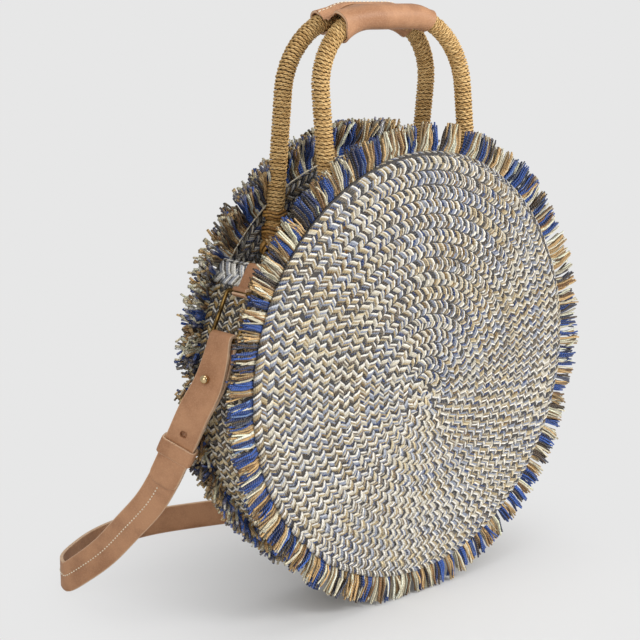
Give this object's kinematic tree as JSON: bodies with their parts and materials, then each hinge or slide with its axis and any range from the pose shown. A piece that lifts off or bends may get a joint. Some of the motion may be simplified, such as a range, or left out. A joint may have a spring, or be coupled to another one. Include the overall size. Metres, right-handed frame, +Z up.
{
  "type": "circle bag",
  "caption": "Round bag of plaited braid with yarn fringes, open at the top between two cord-wrapped handles that share a leather grip, with a leather shoulder strap.",
  "frame": {"origin": "on the floor, under the middle of the bag between its two round panels", "axes": "+Z up; X across the round panels, +X to the right seen from the front; the front panel faces -Y and the shoulder strap lies behind, towards +Y"},
  "size_m": [0.4281, 0.2784, 0.4843],
  "materials": {
    "braid": "plaited cotton braid, cream and slate strands sewn edge to edge in a spiral",
    "yarn": "cut yarn in bunches of cobalt, navy, gold, brown and cream",
    "binding": "pale braid folded over the edge",
    "cord": "golden-brown waxed cord, closely wound",
    "lashing": "brown cord, closely wound",
    "cane": "bent cane, hidden",
    "leather": "vegetable-tanned leather with pale edges and cream stitches",
    "antique_brass": "darkened brass wire",
    "brass": "polished brass"
  },
  "bodies": {
    "bag": {"front_panel": "braid", "back_panel": "braid", "front_fringe": "yarn", "back_fringe": "yarn", "gusset": "braid", "left_hem": "binding", "right_hem": "binding", "left_tab": "leather", "right_tab": "leather", "front_left_lashing": "lashing", "front_right_lashing": "lashing", "back_left_lashing": "lashing", "back_right_lashing": "lashing"},
    "handles": {"front_handle_core": "cane", "front_handle_wrap": "cord", "back_handle_core": "cane", "back_handle_wrap": "cord", "grip": "leather"},
    "strap": {"shoulder_strap": "leather", "left_ring": "antique_brass", "right_ring": "antique_brass", "left_stud": "brass", "right_stud": "brass"},
    "keeper": {"left_keeper": "leather"}
  },
  "joints": [
    {"name": "handles_sway", "type": "hinge", "parent": "bag", "child": "handles", "pos_m": [0, 0, 0.323], "axis": [1, 0, 0], "range_deg": [-3, 3], "stiffness_Nm_per_rad": 4, "deforming": ["front_left_lashing", "front_right_lashing", "back_left_lashing", "back_right_lashing"]},
    {"name": "strap_swing", "type": "hinge", "parent": "bag", "child": "strap", "pos_m": [0, -0.009, 0.2736], "axis": [1, 0, 0], "range_deg": [0, 45], "deforming": ["left_tab", "right_tab", "back_fringe"]},
    {"name": "keeper_slide", "type": "slide", "parent": "strap", "child": "keeper", "axis": [-0.1134, 0.4606, -0.8803], "range_m": [-0.008, 0.004]}
  ]
}
